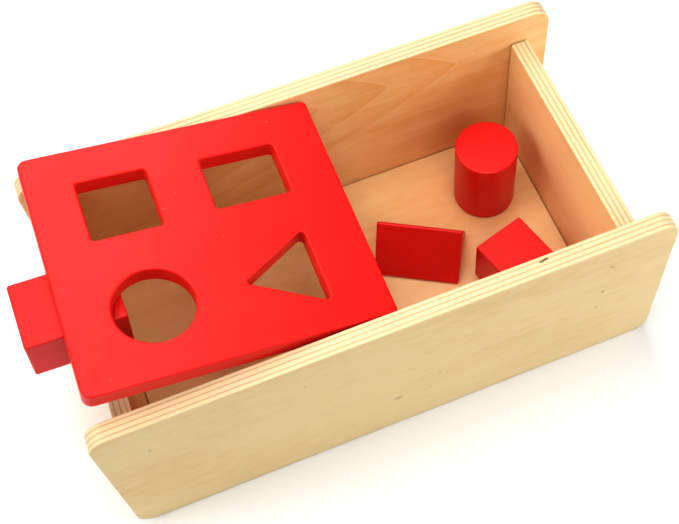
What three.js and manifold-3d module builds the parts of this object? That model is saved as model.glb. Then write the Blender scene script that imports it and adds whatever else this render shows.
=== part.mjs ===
// Flip-lid shape sorter: a birch plywood box, a red lid with four shaped holes that turns on two pins
// across the middle of the box, and four loose red blocks. Millimetres, +Z up.
//
// The pieces are laid out in the box's own frame: X runs along the box with 0 at the lid's pivot, Y runs
// across it with 0 on its centreline, and Z starts at the table. The last lines move the whole group
// along X, so that the origin is the bottom centre of everything, the block that sticks out included.

import * as THREE from "three";
import { mergeVertices } from "three/addons/utils/BufferGeometryUtils.js";
import Module from "manifold-3d";

const wasm = await Module();
wasm.setup();

// ---- Driving dimensions ------------------------------------------------------------------------

const BOX_LENGTH = 300;
const BOX_WIDTH = 156.6;
const BOX_HEIGHT = 117; // top of the two long side boards
const BOARD = 10; // plywood thickness, the same in all five boards
const SIDE_CORNER_RADIUS = 10;
const END_INSET = 13; // from a side board's end to the end board's outer face
const END_TOP = 98.5; // the end boards are lower, so that the lid rests on them
const FLOOR_TOP = 16;
const JOINT_GAP = 0.3; // glue line, and the play between pieces that touch
const BOARD_EDGE = 0.7; // sanded rounding of the boards' edges

const DOWEL_RADIUS = 3;
const DOWEL_IN_SIDE = 7;
const DOWEL_IN_EDGE = 17;
const DOWEL_CHAMFER = 0.8;
const END_DOWEL_HEIGHTS = { low: 30, high: 76 };
const FLOOR_DOWEL_PLACES = { left: -85, middle: 0, right: 85 };

const LID_LENGTH = 150;
const LID_THICKNESS = 10;
const LID_SIDE_GAP = 1.3; // between the lid and each side board
const LID_TAIL = 5; // from the pivot to the lid's short end
const LID_EDGE = 1.1; // rounding all round the lid and its holes
const LID_FREE_RADIUS = 5; // corners of the end that is lifted
const LID_TAIL_RADIUS = 2.5;
const PIVOT_HEIGHT = 108.5;

const PIN_RADIUS = 2;
const PIN_IN_SIDE = 6;
const PIN_IN_LID = 8;
const PIN_CHAMFER = 0.4;

// Hole centres: x from the lid's free end, y from its centreline.
const SQUARE_HOLE_PLACE = { x: 41.3, y: 29.2 };
const OBLONG_HOLE_PLACE = { x: 104.8, y: 28.9 };
const ROUND_HOLE_PLACE = { x: 42.1, y: -30 };
const TRIANGLE_HOLE_PLACE = { x: 103.5, y: -30.7 };
const HOLE_CORNER_RADIUS = 1.8;
const HOLE_PLAY = 3.2; // a hole is this much wider than its block

const BLOCK_LENGTH = 48.5;
const BLOCK_EDGE = 1;
const BLOCK_CORNER_RADIUS = 1.3;
const SQUARE_SIDE = 31.5;
const OBLONG_WIDTH = 35.5;
const OBLONG_THICKNESS = 28;
const CYLINDER_RADIUS = 17.75;
const TRIANGLE_SIDE = 36.6;

// Where the loose blocks lie: the middle of each on the box's floor, and its turn about Z in degrees.
const CYLINDER_PLACE = { x: 96.9, y: 30.7 };
const SQUARE_PLACE = { x: 91.4, y: -36.3, turn: 16 };
const TRIANGLE_PLACE = { x: 46.1, y: 7, turn: -30.3 };
// The oblong block leans on the inner top edge of the left end board and props the lid open. Its inner
// end reaches past that edge, its middle is off the box's centreline, and its outer end is the higher.
const OBLONG_PLACE = { past: 10.4, y: -8.9, lean: 6, turn: 1.2 };

const EDGE_STEPS = 3; // facets in a rounded edge
const FEWEST_CORNER_STEPS = 3; // facets in a rounded corner, more on a large one
const CORNER_STEPS_PER_MM = 0.8;
const ROUND_STEPS = 64; // facets round the cylinder and the round hole
const PEG_STEPS = 16; // facets round a dowel or a pin

// ---- Derived dimensions ------------------------------------------------------------------------

const INNER_HALF_WIDTH = BOX_WIDTH / 2 - BOARD;
const BETWEEN_SIDES = 2 * (INNER_HALF_WIDTH - JOINT_GAP);
const END_MIDDLE = BOX_LENGTH / 2 - END_INSET - BOARD / 2;
const END_INNER = END_MIDDLE - BOARD / 2;
const FLOOR_MIDDLE = FLOOR_TOP - BOARD / 2;
const LID_WIDTH = 2 * (INNER_HALF_WIDTH - LID_SIDE_GAP);
const TRIANGLE_HOLE_SIDE = TRIANGLE_SIDE + Math.sqrt(3) * HOLE_PLAY;

// The lid rests on the oblong block's inner top edge. Where that edge is, seen from the pivot, gives
// the lid's tilt: it lies half a lid's thickness, and the gap, below the lid's middle plane.
const OBLONG_LEAN = THREE.MathUtils.degToRad(OBLONG_PLACE.lean);
const PROP_REACH =
  END_INNER -
  OBLONG_PLACE.past * Math.cos(OBLONG_LEAN) -
  OBLONG_THICKNESS * Math.sin(OBLONG_LEAN);
const PROP_RISE =
  END_TOP +
  JOINT_GAP -
  OBLONG_PLACE.past * Math.sin(OBLONG_LEAN) +
  OBLONG_THICKNESS * Math.cos(OBLONG_LEAN) -
  PIVOT_HEIGHT;
const LID_TILT =
  Math.atan2(PROP_RISE, PROP_REACH) +
  Math.asin((LID_THICKNESS / 2 + JOINT_GAP) / Math.hypot(PROP_REACH, PROP_RISE));

// ---- Materials ---------------------------------------------------------------------------------

const plywood = new THREE.MeshStandardMaterial({ color: 0xe3c08d, roughness: 0.62, metalness: 0 });
const redPaint = new THREE.MeshStandardMaterial({ color: 0xd8201b, roughness: 0.38, metalness: 0 });
const beech = new THREE.MeshStandardMaterial({ color: 0xcfa273, roughness: 0.7, metalness: 0 });
const steel = new THREE.MeshStandardMaterial({ color: 0xb9bcc0, roughness: 0.32, metalness: 1 });

// ---- Shape helpers -----------------------------------------------------------------------------

// A piece that lies along Y is made along another axis and turned a quarter turn.
const QUARTER_TURN = Math.PI / 2;

function roundedOutline(points, radii) {
  const outline = [];
  points.forEach(([x, y], i) => {
    const here = new THREE.Vector2(x, y);
    const before = new THREE.Vector2(...points.at(i - 1)).sub(here).normalize();
    const after = new THREE.Vector2(...points[(i + 1) % points.length]).sub(here).normalize();
    const radius = Array.isArray(radii) ? radii[i] : radii;
    const halfAngle = before.angleTo(after) / 2;
    const middle = before.clone().add(after).normalize();
    const centre = here.clone().addScaledVector(middle, radius / Math.sin(halfAngle));
    const start = here.clone().addScaledVector(before, radius / Math.tan(halfAngle)).sub(centre);
    const sweep = Math.PI - 2 * halfAngle;
    const steps = Math.max(FEWEST_CORNER_STEPS, Math.round(CORNER_STEPS_PER_MM * radius));
    for (let step = 0; step <= steps; step += 1) {
      const turned = start.clone().rotateAround(new THREE.Vector2(), (sweep * step) / steps);
      outline.push(turned.add(centre));
    }
  });
  return outline;
}

function rectangle(width, height, radii, x = 0, y = 0) {
  const corners = [[-1, -1], [1, -1], [1, 1], [-1, 1]];
  return roundedOutline(
    corners.map(([sx, sy]) => [x + (sx * width) / 2, y + (sy * height) / 2]),
    radii,
  );
}

// An equilateral triangle with its point towards -X, centred on the middle of its height.
function triangle(side, radius, x = 0, y = 0) {
  const height = (side * Math.sqrt(3)) / 2;
  const corners = [[-height / 2, 0], [height / 2, -side / 2], [height / 2, side / 2]];
  return roundedOutline(corners.map(([px, py]) => [x + px, y + py]), radius);
}

function circle(radius, x = 0, y = 0) {
  return Array.from({ length: ROUND_STEPS }, (_, i) => {
    const angle = (2 * Math.PI * i) / ROUND_STEPS;
    return new THREE.Vector2(x + radius * Math.cos(angle), y + radius * Math.sin(angle));
  });
}

// A slab with rounded edges: the outline lies in XY, and the thickness is centred on Z.
function slab(outline, thickness, edge, holes = []) {
  const shape = new THREE.Shape(outline);
  shape.holes = holes.map((hole) => new THREE.Path(hole));
  const geometry = new THREE.ExtrudeGeometry(shape, {
    depth: thickness - 2 * edge,
    bevelThickness: edge,
    bevelSize: edge,
    bevelOffset: -edge,
    bevelSegments: EDGE_STEPS,
  });
  return geometry.translate(0, 0, edge - thickness / 2);
}

// A solid of revolution about Y, with chamfered rims.
function peg(radius, length, chamfer) {
  const end = length / 2;
  const profile = [
    [0, -end],
    [radius - chamfer, -end],
    [radius, chamfer - end],
    [radius, end - chamfer],
    [radius - chamfer, end],
    [0, end],
  ];
  return new THREE.LatheGeometry(profile.map(([r, y]) => new THREE.Vector2(r, y)), PEG_STEPS);
}

function toSolid(geometry) {
  const bare = geometry.clone();
  bare.deleteAttribute("normal");
  bare.deleteAttribute("uv");
  const merged = mergeVertices(bare, 1e-3);
  const mesh = new wasm.Mesh({
    numProp: 3,
    vertProperties: merged.attributes.position.array,
    triVerts: new Uint32Array(merged.index.array),
  });
  return new wasm.Manifold(mesh);
}

function drill(geometry, cutters) {
  const cut = cutters.reduce((solid, cutter) => solid.subtract(toSolid(cutter)), toSolid(geometry));
  const { vertProperties, triVerts } = cut.getMesh();
  const drilled = new THREE.BufferGeometry();
  drilled.setAttribute("position", new THREE.BufferAttribute(vertProperties, 3));
  drilled.setIndex(new THREE.BufferAttribute(triVerts, 1));
  drilled.computeVertexNormals();
  return drilled;
}

// The cutter for a blind hole along Y, from one Y to another, a glue gap wider than its peg.
function bore(pegRadius, x, fromY, toY, z) {
  const cutter = new THREE.CylinderGeometry(
    pegRadius + JOINT_GAP,
    pegRadius + JOINT_GAP,
    Math.abs(toY - fromY),
    PEG_STEPS,
  );
  return cutter.translate(x, (fromY + toY) / 2, z);
}

// ---- The assembly ------------------------------------------------------------------------------

const sorter = new THREE.Group();

function add(name, geometry, material, parent = sorter) {
  const mesh = new THREE.Mesh(geometry, material);
  mesh.name = name;
  parent.add(mesh);
  return mesh;
}

const SIDES = { near: -1, far: 1 };
const ENDS = { left: -1, right: 1 };

// Every dowel joins a side board to the end of another board, so one list drives holes and dowels.
const dowels = [];
for (const [sideName, side] of Object.entries(SIDES)) {
  for (const [endName, end] of Object.entries(ENDS)) {
    for (const [heightName, z] of Object.entries(END_DOWEL_HEIGHTS)) {
      const name = `${endName}_end_dowel_${sideName}_${heightName}`;
      dowels.push({ name, board: `${endName}_end_board`, side, x: end * END_MIDDLE, z });
    }
  }
  for (const [placeName, x] of Object.entries(FLOOR_DOWEL_PLACES)) {
    const name = `floor_dowel_${sideName}_${placeName}`;
    dowels.push({ name, board: "floor_board", side, x, z: FLOOR_MIDDLE });
  }
}

// Holes start this far outside the face that they enter, so that they break it cleanly.
const BREAKOUT = 1;

function sideBores(side) {
  const mouth = side * (INNER_HALF_WIDTH - BREAKOUT);
  const dowelEnd = side * (INNER_HALF_WIDTH + DOWEL_IN_SIDE + JOINT_GAP);
  const pinEnd = side * (INNER_HALF_WIDTH + PIN_IN_SIDE + JOINT_GAP);
  const forDowels = dowels
    .filter((dowel) => dowel.side === side)
    .map((dowel) => bore(DOWEL_RADIUS, dowel.x, mouth, dowelEnd, dowel.z));
  return [...forDowels, bore(PIN_RADIUS, 0, mouth, pinEnd, PIVOT_HEIGHT)];
}

function boardBores(boardName) {
  return dowels
    .filter((dowel) => dowel.board === boardName)
    .map((dowel) => {
      const mouth = dowel.side * (INNER_HALF_WIDTH + BREAKOUT);
      const end = dowel.side * (INNER_HALF_WIDTH - DOWEL_IN_EDGE - JOINT_GAP);
      return bore(DOWEL_RADIUS, dowel.x, mouth, end, dowel.z);
    });
}

// Long side boards, with all four corners rounded.
for (const [sideName, side] of Object.entries(SIDES)) {
  const board = slab(rectangle(BOX_LENGTH, BOX_HEIGHT, SIDE_CORNER_RADIUS), BOARD, BOARD_EDGE)
    .rotateX(QUARTER_TURN)
    .translate(0, side * (BOX_WIDTH / 2 - BOARD / 2), BOX_HEIGHT / 2);
  add(`${sideName}_side_board`, drill(board, sideBores(side)), plywood);
}

// End boards between the side boards.
for (const [endName, end] of Object.entries(ENDS)) {
  const name = `${endName}_end_board`;
  const board = slab(rectangle(END_TOP, BETWEEN_SIDES, 2 * BOARD_EDGE), BOARD, BOARD_EDGE)
    .rotateY(QUARTER_TURN)
    .translate(end * END_MIDDLE, 0, END_TOP / 2);
  add(name, drill(board, boardBores(name)), plywood);
}

// Floor board between all four.
const floorLength = 2 * (END_INNER - JOINT_GAP);
const floorOutline = rectangle(floorLength, BETWEEN_SIDES, 2 * BOARD_EDGE);
const floorBoard = slab(floorOutline, BOARD, BOARD_EDGE).translate(0, 0, FLOOR_MIDDLE);
add("floor_board", drill(floorBoard, boardBores("floor_board")), plywood);

// Glued dowels.
for (const { name, side, x, z } of dowels) {
  const middle = INNER_HALF_WIDTH + (DOWEL_IN_SIDE - DOWEL_IN_EDGE) / 2;
  const dowel = add(name, peg(DOWEL_RADIUS, DOWEL_IN_SIDE + DOWEL_IN_EDGE, DOWEL_CHAMFER), beech);
  dowel.position.set(x, side * middle, z);
}

// The lid's frame: the origin is on the pivot, X runs along the lid towards its tail, and the whole
// frame is tilted, free end up.
const lidFrame = new THREE.Group();
lidFrame.position.set(0, 0, PIVOT_HEIGHT);
lidFrame.rotation.y = LID_TILT;
sorter.add(lidFrame);

const freeEnd = LID_TAIL - LID_LENGTH;
const squareHole = SQUARE_SIDE + HOLE_PLAY;
const oblongHole = [OBLONG_WIDTH + HOLE_PLAY, OBLONG_THICKNESS + HOLE_PLAY];
const at = (place) => [freeEnd + place.x, place.y];
const lidHoles = [
  rectangle(squareHole, squareHole, HOLE_CORNER_RADIUS, ...at(SQUARE_HOLE_PLACE)),
  rectangle(...oblongHole, HOLE_CORNER_RADIUS, ...at(OBLONG_HOLE_PLACE)),
  circle(CYLINDER_RADIUS + HOLE_PLAY / 2, ...at(ROUND_HOLE_PLACE)),
  triangle(TRIANGLE_HOLE_SIDE, HOLE_CORNER_RADIUS, ...at(TRIANGLE_HOLE_PLACE)),
];
const lidRadii = [LID_FREE_RADIUS, LID_TAIL_RADIUS, LID_TAIL_RADIUS, LID_FREE_RADIUS];
const lidOutline = rectangle(LID_LENGTH, LID_WIDTH, lidRadii, freeEnd + LID_LENGTH / 2);
const lidPinBores = Object.values(SIDES).map((side) =>
  bore(PIN_RADIUS, 0, side * (LID_WIDTH / 2 + BREAKOUT), side * (LID_WIDTH / 2 - PIN_IN_LID - JOINT_GAP), 0),
);
const lidSlab = slab(lidOutline, LID_THICKNESS, LID_EDGE, lidHoles);
add("lid_panel", drill(lidSlab, lidPinBores), redPaint, lidFrame);

// Pivot pins, fixed in the lid's edges and turning in blind holes in the side boards.
for (const [sideName, side] of Object.entries(SIDES)) {
  const length = PIN_IN_LID + LID_SIDE_GAP + PIN_IN_SIDE;
  const pin = add(`${sideName}_pivot_pin`, peg(PIN_RADIUS, length, PIN_CHAMFER), steel, lidFrame);
  pin.position.y = side * (INNER_HALF_WIDTH + PIN_IN_SIDE - length / 2);
}

// The oblong block that props the lid open, in a frame on the end board's edge that it leans on.
const propFrame = new THREE.Group();
propFrame.position.set(-END_INNER, OBLONG_PLACE.y, END_TOP + JOINT_GAP);
propFrame.rotation.set(0, OBLONG_LEAN, THREE.MathUtils.degToRad(OBLONG_PLACE.turn), "ZYX");
sorter.add(propFrame);
const oblongOutline = rectangle(BLOCK_LENGTH, OBLONG_WIDTH, BLOCK_CORNER_RADIUS);
const oblong = slab(oblongOutline, OBLONG_THICKNESS, BLOCK_EDGE);
add("oblong_block", oblong, redPaint, propFrame).position.set(
  OBLONG_PLACE.past - BLOCK_LENGTH / 2,
  0,
  OBLONG_THICKNESS / 2,
);

// The other three blocks lie on the floor.
function lieDown(mesh, place, height) {
  mesh.position.set(place.x, place.y, FLOOR_TOP + JOINT_GAP + height / 2);
  mesh.rotation.z = THREE.MathUtils.degToRad(place.turn ?? 0);
}

const cylinder = slab(circle(CYLINDER_RADIUS), BLOCK_LENGTH, BLOCK_EDGE);
lieDown(add("cylinder_block", cylinder, redPaint), CYLINDER_PLACE, BLOCK_LENGTH);

const square = slab(rectangle(SQUARE_SIDE, SQUARE_SIDE, BLOCK_CORNER_RADIUS), BLOCK_LENGTH, BLOCK_EDGE);
lieDown(add("square_block", square.rotateX(QUARTER_TURN), redPaint), SQUARE_PLACE, SQUARE_SIDE);

// On its side, with the ridge up and the length along X: the point turns from -X to +Z.
const ridge = slab(triangle(TRIANGLE_SIDE, BLOCK_CORNER_RADIUS), BLOCK_LENGTH, BLOCK_EDGE);
const triangleBlock = add("triangle_block", ridge.rotateY(QUARTER_TURN), redPaint);
lieDown(triangleBlock, TRIANGLE_PLACE, (TRIANGLE_SIDE * Math.sqrt(3)) / 2);

// Move the origin to the bottom centre of the whole.
sorter.updateMatrixWorld(true);
sorter.position.x = -new THREE.Box3().setFromObject(sorter, true).getCenter(new THREE.Vector3()).x;

export default sorter;
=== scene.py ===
"""Looks for the flip-lid shape sorter.

A birch plywood box, a red lid with four holes that flips over, and four loose red blocks."""

import math

import bmesh
import bpy
from mathutils import Matrix, Vector, noise


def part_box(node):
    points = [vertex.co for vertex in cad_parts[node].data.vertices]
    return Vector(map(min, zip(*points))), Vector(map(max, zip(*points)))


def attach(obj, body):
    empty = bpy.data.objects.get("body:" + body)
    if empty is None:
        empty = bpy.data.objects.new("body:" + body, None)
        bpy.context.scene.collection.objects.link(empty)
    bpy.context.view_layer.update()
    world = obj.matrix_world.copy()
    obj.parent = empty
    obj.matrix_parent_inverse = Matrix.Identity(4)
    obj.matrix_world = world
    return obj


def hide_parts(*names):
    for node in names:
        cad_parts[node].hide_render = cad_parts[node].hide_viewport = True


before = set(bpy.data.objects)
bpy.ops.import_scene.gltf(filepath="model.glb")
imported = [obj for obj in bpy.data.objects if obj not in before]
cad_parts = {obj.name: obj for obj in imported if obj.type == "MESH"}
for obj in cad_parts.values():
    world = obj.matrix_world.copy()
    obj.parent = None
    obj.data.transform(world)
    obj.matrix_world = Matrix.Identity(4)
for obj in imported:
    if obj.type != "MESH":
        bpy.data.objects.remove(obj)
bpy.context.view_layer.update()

MM = 0.001

# ---- Shapes, in millimetres, the same as in the CAD part -----------------------------------------

PLY = 10  # board thickness
PLY_EDGE = 0.7  # sanded rounding of the boards' edges
SIDE_CORNER = 10
END_CORNER = 1.4
GAP = 0.3
CROSS_PLY = 0.8  # thickness of a ply whose grain runs across
PLY_PITCH = 2.75  # from one cross ply to the next
PLY_GROOVE = 0.05  # a cross ply is sanded this much lower on the edges

LID_EDGE = 1.1
LID_FREE_CORNER = 5
LID_TAIL_CORNER = 2.5
LID_LENGTH = 150
HOLE_CORNER = 1.8
# each hole's size, and its centre: x from the lid's free end, y from its centreline
SQUARE_HOLE, SQUARE_HOLE_AT = 34.7, (41.3, 29.2)
OBLONG_HOLE, OBLONG_HOLE_AT = (38.7, 31.2), (104.8, 28.9)
ROUND_HOLE, ROUND_HOLE_AT = 19.35, (42.1, -30)
TRIANGLE_HOLE, TRIANGLE_HOLE_AT = 42.143, (103.5, -30.7)

BLOCK_EDGE = 1
BLOCK_CORNER = 1.3
TRIANGLE_SIDE = 36.6

CORNER_STEPS = 14
EDGE_STEPS = 5
OUTLINE_PITCH = 6  # longest straight stretch of a rim between two points
HAND_SANDED = 0.22  # how far an edge's rounding varies along it, as a share of its size

QUARTER = math.pi / 2


# ---- Mesh helpers --------------------------------------------------------------------------------


def rounded_outline(corners, radii):
    """Points round a polygon with rounded corners, each with its direction into the material."""
    outline = []
    count = len(corners)
    for i, corner in enumerate(corners):
        here = Vector(corner)
        before = (Vector(corners[i - 1]) - here).normalized()
        after = (Vector(corners[(i + 1) % count]) - here).normalized()
        radius = radii[i] if isinstance(radii, (list, tuple)) else radii
        half = before.angle(after) / 2
        centre = here + (before + after).normalized() * (radius / math.sin(half))
        start = (here + before * (radius / math.tan(half)) - centre).normalized()
        sweep = math.pi - 2 * half
        for step in range(CORNER_STEPS + 1):
            out = start.copy()
            out.rotate(Matrix.Rotation(sweep * step / CORNER_STEPS, 2))
            outline.append((centre + out * radius, -out))
    return subdivide(outline)


def subdivide(outline):
    """Adds points on the straight stretches, so that an edge can vary along its length."""
    dense = []
    for i, (point, into) in enumerate(outline):
        dense.append((point, into))
        after, after_into = outline[(i + 1) % len(outline)]
        pieces = math.ceil((after - point).length / OUTLINE_PITCH)
        for k in range(1, pieces):
            share = k / pieces
            dense.append((point.lerp(after, share), into.lerp(after_into, share).normalized()))
    return dense


def rectangle(width, height, radii, x=0, y=0):
    corners = [(-1, -1), (1, -1), (1, 1), (-1, 1)]
    return rounded_outline([(x + a * width / 2, y + b * height / 2) for a, b in corners], radii)


def triangle(side, radius, x=0, y=0):
    """Equilateral, with its point towards -X, centred on the middle of its height."""
    rise = side * math.sqrt(3) / 2
    corners = [(-rise / 2, 0), (rise / 2, -side / 2), (rise / 2, side / 2)]
    return rounded_outline([(x + a, y + b) for a, b in corners], radius)


def circle(radius, x=0, y=0, steps=128):
    angles = [2 * math.pi * i / steps for i in range(steps)]
    rays = [Vector((math.cos(a), math.sin(a))) for a in angles]
    return [(Vector((x, y)) + ray * radius, -ray) for ray in rays]


def as_hole(outline):
    """The same outline as the wall of a hole: the material is on its other side."""
    return [(point, -into) for point, into in outline]


def round_profile(thickness, edge):
    """(inset, height) pairs from the lower face's rim to the upper face's, for a rounded edge."""
    half = thickness / 2
    quarter = []
    for i in range(EDGE_STEPS + 1):
        a = QUARTER * i / EDGE_STEPS
        quarter.append((edge * (1 - math.sin(a)), edge * (1 - math.cos(a)) - half))
    return quarter + [(inset, -height) for inset, height in reversed(quarter)]


def plywood_profile(thickness, edge):
    """The same, with the cross plies sanded a hair lower than the others."""
    profile = round_profile(thickness, edge)
    middle = len(profile) // 2
    grooves = []
    for centre in (-PLY_PITCH, 0, PLY_PITCH):
        half = CROSS_PLY / 2
        grooves += [(0, centre - half), (PLY_GROOVE, centre - half * 0.7)]
        grooves += [(PLY_GROOVE, centre + half * 0.7), (0, centre + half)]
    return profile[:middle] + grooves + profile[middle:]


def slab(name, outline, profile, holes=(), seed=0.0):
    """A flat piece in XY, its thickness along Z, from an outline, an edge profile and its holes."""
    bm = bmesh.new()
    caps = {0: [], len(profile) - 1: []}
    for loop in [outline, *[as_hole(hole) for hole in holes]]:
        rings = []
        for inset, height in profile:
            ring = []
            for point, into in loop:
                sample = Vector((point.x / 19, point.y / 19, height / 4 + seed))
                worn = inset * (1 + HAND_SANDED * noise.noise(sample))
                flat = point + into * worn
                ring.append(bm.verts.new((flat.x * MM, flat.y * MM, height * MM)))
            rings.append(ring)
        for low, high in zip(rings, rings[1:]):
            for i in range(len(low)):
                bm.faces.new((low[i - 1], low[i], high[i], high[i - 1]))
        for level, edges in caps.items():
            ring = rings[level]
            edges += [bm.edges.get((ring[i - 1], ring[i])) for i in range(len(ring))]
    for edges in caps.values():
        bmesh.ops.triangle_fill(bm, use_beauty=True, edges=edges)
    bmesh.ops.recalc_face_normals(bm, faces=bm.faces)
    return to_object(name, bm)


def to_object(name, bm):
    mesh = bpy.data.meshes.new(name)
    bm.to_mesh(mesh)
    bm.free()
    mesh.shade_smooth()
    piece = bpy.data.objects.new(name, mesh)
    bpy.context.scene.collection.objects.link(piece)
    return piece


def cylinder_cutter(bm, centre, radius, half_length, matrix):
    """Adds a cylinder along the part's Y to bm, in the coordinates that matrix leads to."""
    turn = Matrix.Translation(centre) @ Matrix.Rotation(QUARTER, 4, "X")
    bmesh.ops.create_cone(
        bm,
        cap_ends=True,
        segments=32,
        radius1=radius,
        radius2=radius,
        depth=2 * half_length,
        matrix=matrix @ turn,
    )


def cut(piece, bm, overlapping=False):
    """Takes the closed shapes in bm out of the piece."""
    bmesh.ops.recalc_face_normals(bm, faces=bm.faces)
    cutter = to_object("cutter", bm)
    cutter.matrix_world = piece.matrix_world
    modifier = piece.modifiers.new("cut", "BOOLEAN")
    modifier.operation = "DIFFERENCE"
    modifier.solver = "EXACT"
    modifier.use_self = overlapping
    modifier.object = cutter
    bpy.context.view_layer.update()
    depsgraph = bpy.context.evaluated_depsgraph_get()
    carved = bpy.data.meshes.new_from_object(piece.evaluated_get(depsgraph))
    piece.modifiers.clear()
    piece.data = carved
    bpy.data.objects.remove(cutter)


def bore_for(piece, nodes):
    """Drills the holes that hidden dowels or pins sit in."""
    bm = bmesh.new()
    inverse = piece.matrix_world.inverted()
    for node in nodes:
        low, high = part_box(node)
        radius = (high.x - low.x) / 2 + GAP * MM
        half_length = (high.y - low.y) / 2 + GAP * MM
        cylinder_cutter(bm, (low + high) / 2, radius, half_length, inverse)
    cut(piece, bm)


def finish_piece(piece, material, body, nodes):
    piece.data.materials.clear()
    piece.data.materials.append(material)
    weighted = piece.modifiers.new("even_shading", "WEIGHTED_NORMAL")
    weighted.weight = 100
    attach(piece, body)
    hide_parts(*nodes)


def flat_normal(node, hint):
    """The normal of the largest facet of a CAD node that faces roughly towards hint."""
    hint = Vector(hint).normalized()
    facing = [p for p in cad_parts[node].data.polygons if p.normal.dot(hint) > 0.8]
    return max(facing, key=lambda p: p.area).normal.copy()


def pose_of(node, along, up):
    """A loose CAD piece's own frame: X near along, Z near up, the origin in its middle."""
    z = flat_normal(node, up)
    x = flat_normal(node, along)
    y = z.cross(x).normalized()
    x = y.cross(z).normalized()
    low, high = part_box(node)
    turn = Matrix((x, y, z)).transposed().to_4x4()
    return Matrix.Translation((low + high) / 2) @ turn


# ---- Material helpers ----------------------------------------------------------------------------


class Graph:
    """Short calls that build one material's nodes."""

    def __init__(self, name):
        self.material = bpy.data.materials.new(name)
        self.material.use_nodes = True
        self.nodes = self.material.node_tree.nodes
        self.links = self.material.node_tree.links
        self.nodes.clear()

    def add(self, kind, values=(), output=0, **settings):
        node = self.nodes.new(kind)
        for key, value in settings.items():
            setattr(node, key, value)
        for socket, value in dict(values).items():
            self.set(node.inputs[socket], value)
        return node.outputs[output]

    def set(self, socket, value):
        if isinstance(value, bpy.types.NodeSocket):
            self.links.new(value, socket)
        else:
            socket.default_value = value

    def math(self, operation, a, b=0.0, c=0.0):
        return self.add("ShaderNodeMath", {0: a, 1: b, 2: c}, operation=operation)

    def scaled(self, vector, scale, offset=(0, 0, 0)):
        return self.add(
            "ShaderNodeVectorMath",
            {0: vector, 1: scale, 2: offset},
            operation="MULTIPLY_ADD",
        )

    def noise(self, vector, detail=2.0, roughness=0.5):
        """Perlin noise of a vector that is already scaled, about 0.5."""
        values = {"Vector": vector, "Scale": 1.0, "Detail": detail, "Roughness": roughness}
        return self.add("ShaderNodeTexNoise", values)

    def smooth(self, value, low, high, to_low=0.0, to_high=1.0):
        values = {0: value, 1: low, 2: high, 3: to_low, 4: to_high}
        return self.add("ShaderNodeMapRange", values, interpolation_type="SMOOTHSTEP")

    def mix(self, factor, a, b):
        values = {0: factor, 6: a, 7: b}
        return self.add("ShaderNodeMix", values, output=2, data_type="RGBA")

    def blend(self, kind, factor, a, b):
        values = {0: factor, 6: a, 7: b}
        return self.add("ShaderNodeMix", values, output=2, data_type="RGBA", blend_type=kind)

    def total(self, *weighted):
        """The sum of value times weight."""
        result = 0.0
        for value, weight in weighted:
            result = self.math("MULTIPLY_ADD", value, weight, result)
        return result

    def finish(self, colour, roughness, height, depth, constants):
        bump = self.add("ShaderNodeBump", {"Height": height, "Distance": depth, "Strength": 1.0})
        shader = self.nodes.new("ShaderNodeBsdfPrincipled")
        self.set(shader.inputs["Base Color"], colour)
        self.set(shader.inputs["Roughness"], roughness)
        self.set(shader.inputs["Normal"], bump)
        for name, value in constants.items():
            shader.inputs[name].default_value = value
        output = self.nodes.new("ShaderNodeOutputMaterial")
        self.links.new(shader.outputs[0], output.inputs[0])
        return self.material


def rgb(red, green, blue):
    return (red, green, blue, 1.0)


# ---- Materials -----------------------------------------------------------------------------------

FIGURE_PITCH = 41  # from one ring of the veneer's arch figure to the next
FIGURE_BLUNT = 1.5e-6  # how blunt the arches' tips are, in square metres
VENEER_FULL, VENEER_GONE = 0.03, 0.22  # depths below a face: veneer colour, ply colour
GRAIN_BUMP, PAINT_BUMP, PIN_BUMP = 0.00006, 0.00005, 0.00002  # in metres

VENEER_PALE = rgb(0.90, 0.655, 0.355)
VENEER_WARM = rgb(0.80, 0.465, 0.18)
VENEER_LINE = rgb(0.90, 0.67, 0.40)
EDGE_LONG = rgb(0.70, 0.58, 0.375)
EDGE_CROSS = rgb(0.54, 0.37, 0.19)
PIN_KNOT = rgb(0.22, 0.10, 0.04)
RED = rgb(0.77, 0.0185, 0.0128)
RED_DEEP = rgb(0.71, 0.011, 0.0075)
DUST = rgb(0.95, 0.62, 0.55)


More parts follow.
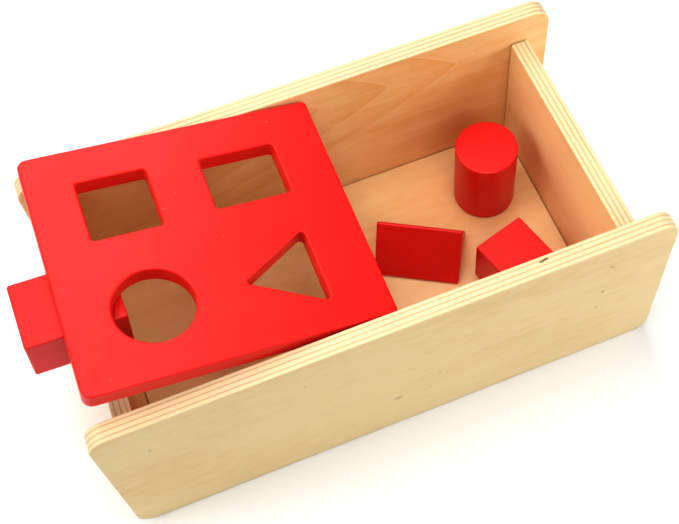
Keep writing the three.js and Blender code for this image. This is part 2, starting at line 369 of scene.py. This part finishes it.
def plywood(name, seed, figure, figure_strength, warmth, knots=(), tint=(1, 1, 1)):
    """Birch plywood as a solid: X along the face grain, Z through the plies.

    figure is where the tip of the face veneer's arch figure is, (x, y) in millimetres, and
    knots are (x, y, size). warmth runs from pale to golden."""
    g = Graph(name)
    point = g.add("ShaderNodeTexCoord", output=3)
    axes = g.nodes.new("ShaderNodeSeparateXYZ")
    g.links.new(point, axes.inputs[0])
    x, y, z = axes.outputs

    # the grain wanders a little across the board
    drift = g.noise(g.scaled(point, (5, 16, 60), (seed, seed, seed)), detail=2)
    wander = g.math("MULTIPLY_ADD", drift, 0.012, -0.006)
    y_grain = g.math("ADD", y, wander)
    grain = g.add("ShaderNodeCombineXYZ", {0: x, 1: y_grain, 2: z})

    cloud = g.noise(g.scaled(point, (8, 20, 70), (seed + 3, 0, 0)), detail=2)
    streak = g.noise(g.scaled(grain, (9, 190, 130), (seed, 7, 0)), detail=4, roughness=0.6)
    fibre = g.noise(g.scaled(grain, (50, 1500, 900), (0, seed, 5)), detail=3, roughness=0.6)
    pore = g.noise(g.scaled(grain, (240, 3000, 1500), (seed, 0, 9)), detail=1)
    pores = g.smooth(pore, 0.66, 0.74)

    # the arches of rotary-cut veneer: each ring darkens slowly and ends in a thin pale line
    off_axis = g.math("SUBTRACT", y_grain, figure[1] * MM)
    square = g.math("MULTIPLY", off_axis, off_axis)
    rounded = g.math("SQRT", g.math("ADD", square, FIGURE_BLUNT))
    arch = g.total((x, 1.0), (rounded, 1.5), (square, 16.0))
    ragged = g.math("MULTIPLY_ADD", drift, 0.5, -0.25)
    turns = g.math("MULTIPLY_ADD", arch, 1 / (FIGURE_PITCH * MM), -figure[0] / FIGURE_PITCH)
    ring = g.math("FRACT", g.math("ADD", turns, g.math("MULTIPLY", ragged, 0.6)))
    behind_tip = g.math(
        "MULTIPLY", g.smooth(turns, 0.1, 0.5, 1.0, 0.0), g.smooth(turns, -3.0, -2.0)
    )
    ring_tone = g.math("MULTIPLY", g.math("POWER", ring, 2.2), behind_tip)
    ring_line = g.math("MULTIPLY", g.smooth(ring, 0.0, 0.06, 1.0, 0.0), behind_tip)

    mottle = g.noise(g.scaled(point, (90, 160, 160), (0, 0, seed)), detail=3, roughness=0.6)
    shade = g.total(
        (cloud, 1.1),
        (streak, 0.4 + 0.25 * figure_strength),
        (fibre, 0.45),
        (mottle, 0.6),
        (ring_tone, 0.30 * figure_strength),
    )
    shade = g.math("ADD", shade, warmth - 1.42)
    face = g.mix(g.smooth(shade, 0.0, 1.0), VENEER_PALE, VENEER_WARM)
    line_share = g.math("MULTIPLY", ring_line, 0.45 * figure_strength)
    face = g.mix(line_share, face, VENEER_LINE)
    face = g.mix(g.math("MULTIPLY", pores, 0.35), face, VENEER_WARM)
    for knot_x, knot_y, size in knots:
        place = (knot_x * MM, knot_y * MM, 0)
        away = g.add("ShaderNodeVectorMath", {0: point, 1: place}, operation="SUBTRACT")
        away = g.scaled(away, (0.8, 1, 0))
        distance = g.add("ShaderNodeVectorMath", {0: away}, output=1, operation="LENGTH")
        ragged_edge = g.math("MULTIPLY_ADD", fibre, size * MM * 0.4, distance)
        spot = g.smooth(ragged_edge, size * MM * 0.3, size * MM * 1.1, 0.75 / (1 + size / 3), 0.0)
        face = g.mix(spot, face, PIN_KNOT)

    # the plies, seen on the edges
    patch = g.noise(g.scaled(point, (28, 28, 300), (seed, seed, 0)), detail=3)
    level = g.math("MULTIPLY_ADD", patch, 0.00030, g.math("SUBTRACT", z, 0.00015))
    to_cross = g.math("PINGPONG", level, PLY_PITCH / 2 * MM)
    cross = g.smooth(to_cross, CROSS_PLY * 0.36 * MM, CROSS_PLY * 0.64 * MM, 1.0, 0.0)
    end_grain = g.noise(g.scaled(point, (900, 900, 2600), (0, 0, seed)), detail=2)
    cross_tone = g.total((patch, 0.9), (end_grain, 0.55))
    cross_share = g.math("MULTIPLY", cross, g.smooth(cross_tone, 0.35, 1.05, 0.45, 1.0))
    long_ply = g.mix(g.math("MULTIPLY", fibre, 0.35), EDGE_LONG, VENEER_PALE)
    edge = g.mix(cross_share, long_ply, EDGE_CROSS)

    depth_in = g.math("ABSOLUTE", z)
    half = PLY / 2
    on_face = g.smooth(depth_in, (half - VENEER_GONE) * MM, (half - VENEER_FULL) * MM)
    face = g.blend("MULTIPLY", 1.0, face, rgb(*tint))
    colour = g.mix(on_face, edge, face)

    roughness = g.total((fibre, 0.16), (pores, 0.12))
    roughness = g.math("ADD", roughness, 0.36)
    height = g.total((fibre, 0.6), (streak, 0.4), (pores, -0.8))
    constants = {"Coat Weight": 0.05, "Coat Roughness": 0.28, "Specular IOR Level": 0.3}
    return g.finish(colour, roughness, height, GRAIN_BUMP, constants)


def red_paint(name, seed):
    """Satin paint over wood: a soft orange peel, a trace of the grain, a little dust."""
    g = Graph(name)
    point = g.add("ShaderNodeTexCoord", output=3)
    cloud = g.noise(g.scaled(point, (14, 30, 30), (seed, 0, 0)), detail=2)
    grain = g.noise(g.scaled(point, (18, 420, 420), (seed, 2, 0)), detail=3)
    peel = g.noise(g.scaled(point, (520, 520, 520), (0, seed, 0)), detail=2)
    cells = g.add(
        "ShaderNodeTexVoronoi",
        {"Vector": g.scaled(point, (120, 120, 120), (seed, 0, seed)), "Scale": 1.0},
    )
    chosen = g.noise(g.scaled(point, (40, 40, 40), (0, 0, seed)), detail=0)
    speck = g.math("MULTIPLY", g.smooth(cells, 0.035, 0.06, 1.0, 0.0), g.smooth(chosen, 0.6, 0.64))

    tone = g.total((cloud, 0.8), (grain, 0.5))
    colour = g.mix(g.smooth(tone, 0.4, 0.95), RED, RED_DEEP)
    colour = g.mix(g.math("MULTIPLY", speck, 0.3), colour, DUST)
    roughness = g.total((cloud, 0.08), (grain, 0.06))
    roughness = g.math("ADD", roughness, 0.28)
    height = g.total((peel, 0.5), (grain, 0.7), (speck, 0.8))
    constants = {"Coat Weight": 0.04, "Coat Roughness": 0.25, "Specular IOR Level": 0.33}
    return g.finish(colour, roughness, height, PAINT_BUMP, constants)


def beech(name):
    """Turned beech: end rings across, short dark flecks along."""
    g = Graph(name)
    point = g.add("ShaderNodeTexCoord", output=3)
    fibre = g.noise(g.scaled(point, (1500, 1500, 70)), detail=3)
    fleck = g.smooth(g.noise(g.scaled(point, (2200, 2200, 260), (5, 0, 0)), detail=1), 0.6, 0.7)
    ring = g.noise(g.scaled(point, (420, 900, 8), (0, 3, 0)), detail=2)
    colour = g.mix(g.total((fibre, 0.6), (ring, 0.4)), rgb(0.78, 0.52, 0.30), rgb(0.60, 0.36, 0.19))
    colour = g.mix(g.math("MULTIPLY", fleck, 0.5), colour, rgb(0.36, 0.18, 0.09))
    roughness = g.math("MULTIPLY_ADD", fibre, 0.2, 0.5)
    height = g.total((fibre, 0.7), (fleck, -0.6))
    return g.finish(colour, roughness, height, GRAIN_BUMP, {"Specular IOR Level": 0.35})


def drawn_steel(name):
    """Plain pin wire: fine draw lines along it."""
    g = Graph(name)
    point = g.add("ShaderNodeTexCoord", output=3)
    lines = g.noise(g.scaled(point, (6000, 6000, 60)), detail=3)
    stain = g.noise(g.scaled(point, (300, 300, 200), (4, 0, 0)), detail=2)
    colour = g.mix(g.smooth(stain, 0.35, 0.75), rgb(0.62, 0.62, 0.63), rgb(0.48, 0.46, 0.45))
    roughness = g.total((lines, 0.15), (stain, 0.1))
    roughness = g.math("ADD", roughness, 0.2)
    return g.finish(colour, roughness, lines, PIN_BUMP, {"Metallic": 1.0})


# ---- The boards ----------------------------------------------------------------------------------

ON_SIDE = Matrix.Rotation(QUARTER, 4, "X")  # X stays, Y turns up
ACROSS = Matrix(((0, 0, 1, 0), (1, 0, 0, 0), (0, 1, 0, 0), (0, 0, 0, 1)))  # X along Y, Y up
FLAT = Matrix.Identity(4)


# (x, y, size) in the near board's outer face
NEAR_KNOTS = [
    (-125.8, 30.3, 1.2),
    (-1.6, -23.0, 3.4),
    (-47.7, 35.4, 0.9),
    (113.1, 12.6, 2.0),
    (114.5, 38.8, 1.3),
    (116.2, 36.9, 0.9),
    (111.2, -3.9, 1.1),
    (22.2, -10.1, 0.9),
    (16.5, -23.9, 0.9),
]
NEAR_TINT = (0.85, 0.94, 0.99)

# what is missing from two boards' edges: (centre, size, seed)
NEAR_VOID = [
    ((80.4, 58.4, -2.7), (1.4, 3.0, 0.75), 2.0),
    ((78.4, 58.4, -2.2), (1.7, 1.8, 0.55), 5.0),
]
RIGHT_END_CHIP = [((68.2, 48.9, -4.9), (1.3, 1.6, 1.1), 8.0)]

# how each board lies, its corners' radius, its edges' seed, its veneer and what is missing;
# a veneer is plywood()'s seed, figure, figure_strength, warmth, knots and tint
BOARDS = {
    "near_side": (
        ON_SIDE,
        SIDE_CORNER,
        1.0,
        (11.3, (60, 14), 0.25, 0.34, NEAR_KNOTS, NEAR_TINT),
        NEAR_VOID,
    ),
    "far_side": (ON_SIDE, SIDE_CORNER, 2.0, (4.7, (95.5, 38.5), 1.0, 0.45), ()),
    "right_end": (ACROSS, END_CORNER, 3.0, (23.1, (90, -20), 0.3, 0.3), RIGHT_END_CHIP),
    "left_end": (ACROSS, END_CORNER, 4.0, (37.9, (10, 30), 0.4, 0.3), ()),
    "floor": (FLAT, END_CORNER, 5.0, (52.4, (140, -25), 0.5, 0.28), ()),
}


def hidden_in(place):
    """The dowels and pins that sit in a board."""
    hidden = [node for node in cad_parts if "dowel" in node or "pin" in node]
    if place.endswith("_side"):
        side = place.split("_")[0]
        return [node for node in hidden if side in node.split("_")]
    return [node for node in hidden if node.startswith(place + "_dowel")]


def lump(bm, centre, size, seed):
    """A small irregular closed lump, in millimetres, to carve a void or a chip with."""
    made = bmesh.ops.create_icosphere(bm, subdivisions=3, radius=1)
    for vert in made["verts"]:
        rough = 1 + 0.35 * noise.noise(vert.co * 1.7 + Vector((seed, 0, 0)))
        spread = Vector(a * b for a, b in zip(vert.co * rough, size))
        vert.co = (Vector(centre) + spread) * MM


def build_board(place, turn, corner, seed, veneer, missing):
    """A plywood board in the place of its CAD node."""
    node = place + "_board"
    material = plywood("birch_" + place, *veneer)
    low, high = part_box(node)
    width, height, thickness = (abs(v) / MM for v in turn.inverted().to_3x3() @ (high - low))
    outline = rectangle(width, height, corner)
    piece = slab(node + "_ply", outline, plywood_profile(thickness, PLY_EDGE), seed=seed)
    piece.matrix_world = Matrix.Translation((low + high) / 2) @ turn
    bpy.context.view_layer.update()
    bore_for(piece, hidden_in(place))
    if missing:
        bm = bmesh.new()
        for centre, size, lump_seed in missing:
            lump(bm, centre, size, lump_seed)
        cut(piece, bm, overlapping=len(missing) > 1)
    finish_piece(piece, material, "box", [node])


# ---- The lid -------------------------------------------------------------------------------------


def on_lid(place):
    return place[0] - LID_LENGTH / 2, place[1]


def build_lid():
    node = "lid_panel"
    place = pose_of(node, (1, 0, 0), (0, 0, 1))
    low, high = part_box(node)
    width = (high.y - low.y) / MM
    holes = [
        rectangle(SQUARE_HOLE, SQUARE_HOLE, HOLE_CORNER, *on_lid(SQUARE_HOLE_AT)),
        rectangle(*OBLONG_HOLE, HOLE_CORNER, *on_lid(OBLONG_HOLE_AT)),
        circle(ROUND_HOLE, *on_lid(ROUND_HOLE_AT)),
        triangle(TRIANGLE_HOLE, HOLE_CORNER, *on_lid(TRIANGLE_HOLE_AT)),
    ]
    corners = (LID_FREE_CORNER, LID_TAIL_CORNER, LID_TAIL_CORNER, LID_FREE_CORNER)
    outline = rectangle(LID_LENGTH, width, corners)
    lid = slab("lid_painted", outline, round_profile(PLY, LID_EDGE), holes, 6.0)
    lid.matrix_world = place
    bpy.context.view_layer.update()
    bore_for(lid, ["near_pivot_pin", "far_pivot_pin"])
    finish_piece(lid, red_paint("red_lid", 3.0), "lid", [node])


# ---- The blocks ----------------------------------------------------------------------------------


def block(node, body, outline, length, matrix, seed):
    piece = slab(node + "_painted", outline, round_profile(length, BLOCK_EDGE), seed=seed)
    piece.matrix_world = matrix
    bpy.context.view_layer.update()
    finish_piece(piece, red_paint("red_" + node, seed), body, [node])


def extent(node, matrix):
    """A node's size along the axes of matrix, in millimetres."""
    inverse = matrix.inverted()
    local = [inverse @ v.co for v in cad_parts[node].data.vertices]
    return [(max(p[i] for p in local) - min(p[i] for p in local)) / MM for i in range(3)]


def build_blocks():
    place = pose_of("oblong_block", (1, 0, 0), (0, 0, 1))
    length, width, thickness = extent("oblong_block", place)
    outline = rectangle(length, width, BLOCK_CORNER)
    block("oblong_block", "loose_oblong", outline, thickness, place, 12.0)

    place = pose_of("square_block", (1, 0.3, 0), (-0.3, 1, 0))
    width, height, length = extent("square_block", place)
    outline = rectangle(width, height, BLOCK_CORNER)
    block("square_block", "loose_square", outline, length, place, 17.0)

    low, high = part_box("cylinder_block")
    place = Matrix.Translation((low + high) / 2)
    outline = circle((high.x - low.x) / 2 / MM)
    block("cylinder_block", "loose_cylinder", outline, (high.z - low.z) / MM, place, 24.0)

    # the triangle's outline has its point towards -X and the prism's length along Z
    along = flat_normal("triangle_block", (0.86, -0.5, 0))
    down = Vector((0, 0, -1))
    side = along.cross(down).normalized()
    turn = Matrix((down, side, along)).transposed().to_4x4()
    low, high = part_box("triangle_block")
    place = Matrix.Translation((low + high) / 2) @ turn
    length = extent("triangle_block", place)[2]
    outline = triangle(TRIANGLE_SIDE, BLOCK_CORNER)
    # its ridge is rounded, so the middle of its full height lies a little above its box's middle
    tall = TRIANGLE_SIDE * math.sqrt(3) / 2
    place.translation = Vector(((low.x + high.x) / 2, (low.y + high.y) / 2, low.z + tall / 2 * MM))
    block("triangle_block", "loose_triangle", outline, length, place, 31.0)


# ---- Dowels and pins -----------------------------------------------------------------------------


def turned(name, rings, ripple=0.0, flutes=0, steps=96):
    """A solid of revolution along Z from (radius, height) pairs, with shallow flutes round it."""
    bm = bmesh.new()
    loops = []
    for radius, height in rings:
        loop = []
        for i in range(steps):
            angle = 2 * math.pi * i / steps
            out = (radius - ripple * (0.5 - 0.5 * math.cos(flutes * angle))) * MM
            loop.append(bm.verts.new((out * math.cos(angle), out * math.sin(angle), height * MM)))
        loops.append(loop)
    for low, high in zip(loops, loops[1:]):
        for i in range(steps):
            bm.faces.new((low[i - 1], low[i], high[i], high[i - 1]))
    bm.faces.new(loops[0])
    bm.faces.new(loops[-1])
    bmesh.ops.recalc_face_normals(bm, faces=bm.faces)
    return to_object(name, bm)


PIN_CHAMFER, DOWEL_CHAMFER = 0.4, 0.8
DOWEL_FLUTE, DOWEL_FLUTES = 0.14, 20  # depth, and how many round a dowel


def build_hidden():
    wood, steel = beech("beech_dowel"), drawn_steel("steel_pin")
    for node in sorted(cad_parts):
        if "dowel" not in node and "pin" not in node:
            continue
        low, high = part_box(node)
        radius, half = (high.x - low.x) / 2 / MM, (high.y - low.y) / 2 / MM
        is_pin = "pin" in node
        chamfer = PIN_CHAMFER if is_pin else DOWEL_CHAMFER
        rings = [
            (radius - chamfer, -half),
            (radius - chamfer * 0.3, -half + chamfer * 0.3),
            (radius, -half + chamfer),
            (radius, half - chamfer),
            (radius - chamfer * 0.3, half - chamfer * 0.3),
            (radius - chamfer, half),
        ]
        flutes = () if is_pin else (DOWEL_FLUTE, DOWEL_FLUTES)
        piece = turned(node + "_turned", rings, *flutes)
        turn = Matrix.Rotation(QUARTER, 4, "X")
        piece.matrix_world = Matrix.Translation((low + high) / 2) @ turn
        bpy.context.view_layer.update()
        finish_piece(
            piece,
            steel if is_pin else wood,
            "lid" if is_pin else "box",
            [node],
        )


# ---- Studio --------------------------------------------------------------------------------------

VIEW_GAMMA = 0.74  # a punchy print: darker and richer below white
FLOOR_RADIUS = 0.62  # beyond it the floor runs out into the white of the tent
FLOOR_DROP = 0.0005  # keeps the floor just clear of the box's lower edges
AIM = (0, 0, 0.08)  # where the lights point

# name, direction round the object from the front towards the right, elevation, distance,
# size and watts
SOFTBOXES = [
    ("overhead_softbox", 0, 90, 1.25, 0.7, 8.9),
    ("back_softbox", 176, 54, 1.25, 0.7, 4.9),
    ("low_back_softbox", 176, 32, 1.25, 0.7, 3.4),
    ("left_softbox", 270, 36, 1.25, 0.7, 8.8),
    ("back_left_softbox", 225, 36, 1.25, 0.7, 3.0),
    ("front_softbox", 0, 42, 1.25, 0.7, 5.5),
    ("front_right_softbox", 60, 18, 0.9, 0.7, 5.3),
]
SOFTBOX_LIFT = 0.05  # their centre's height above the table

DOME_LOW, DOME_TOP = 0.01, 0.02  # the light tent's brightness at the horizon and overhead

CAMERA_LENS = 61.5778
CAMERA_SHIFT = (-0.075533, -0.047503)
CAMERA_AT = (-0.063880, -0.295755, 0.609353)
CAMERA_TURN = (29.8782, 1.9802, -21.8003)


def build_floor():
    bm = bmesh.new()
    bmesh.ops.create_circle(bm, cap_ends=True, segments=96, radius=FLOOR_RADIUS)
    floor = to_object("studio_floor", bm)
    floor.location.z = -FLOOR_DROP
    g = Graph("pale_floor")
    point = g.add("ShaderNodeTexCoord", output=3)
    tooth = g.noise(g.scaled(point, (900, 900, 900)), detail=2)
    shade = g.mix(tooth, rgb(0.78, 0.78, 0.78), rgb(0.80, 0.80, 0.80))
    floor.data.materials.append(g.finish(shade, 0.8, tooth, 0.00002, {"Specular IOR Level": 0.1}))


def area_light(name, at, size, power):
    data = bpy.data.lights.new(name, "AREA")
    data.shape = "RECTANGLE"
    data.size = data.size_y = size
    data.energy = power
    light = bpy.data.objects.new(name, data)
    bpy.context.scene.collection.objects.link(light)
    light.location = at
    light.visible_camera = False
    light.rotation_euler = (Vector(AIM) - Vector(at)).to_track_quat("-Z", "Y").to_euler()


def build_lights():
    for name, azimuth, elevation, away, size, power in SOFTBOXES:
        around, up = math.radians(azimuth), math.radians(elevation)
        out = away * math.cos(up)
        height = away * math.sin(up) + SOFTBOX_LIFT
        area_light(name, (out * math.sin(around), -out * math.cos(around), height), size, power)


def build_world():
    """A light tent: white to look at, and as a light brighter overhead than at the horizon."""
    world = bpy.data.worlds.new("studio")
    bpy.context.scene.world = world
    world.use_nodes = True
    nodes, links = world.node_tree.nodes, world.node_tree.links
    nodes.clear()
    seen = nodes.new("ShaderNodeLightPath").outputs["Is Camera Ray"]
    axes = nodes.new("ShaderNodeSeparateXYZ")
    links.new(nodes.new("ShaderNodeTexCoord").outputs["Generated"], axes.inputs[0])
    dome = nodes.new("ShaderNodeMapRange")
    dome.inputs["To Min"].default_value = DOME_LOW
    dome.inputs["To Max"].default_value = DOME_TOP
    links.new(axes.outputs[2], dome.inputs[0])
    strength = nodes.new("ShaderNodeMix")
    strength.inputs[3].default_value = 1.0
    links.new(seen, strength.inputs[0])
    links.new(dome.outputs[0], strength.inputs[2])
    background = nodes.new("ShaderNodeBackground")
    background.inputs[0].default_value = (1, 1, 1, 1)
    links.new(strength.outputs[0], background.inputs[1])
    output = nodes.new("ShaderNodeOutputWorld")
    links.new(background.outputs[0], output.inputs[0])


def build_camera():
    data = bpy.data.cameras.new("camera")
    data.lens = CAMERA_LENS
    data.sensor_width = 36
    data.shift_x, data.shift_y = CAMERA_SHIFT
    data.clip_start, data.clip_end = 0.01, 30
    camera = bpy.data.objects.new("camera", data)
    bpy.context.scene.collection.objects.link(camera)
    camera.location = CAMERA_AT
    camera.rotation_euler = [math.radians(a) for a in CAMERA_TURN]
    bpy.context.scene.camera = camera


build_camera()
build_world()
build_lights()
build_floor()
for name, values in BOARDS.items():
    build_board(name, *values)
build_lid()
build_blocks()
build_hidden()
bpy.context.scene.view_settings.view_transform = "Standard"
bpy.context.scene.view_settings.gamma = VIEW_GAMMA

bpy.context.view_layer.update()
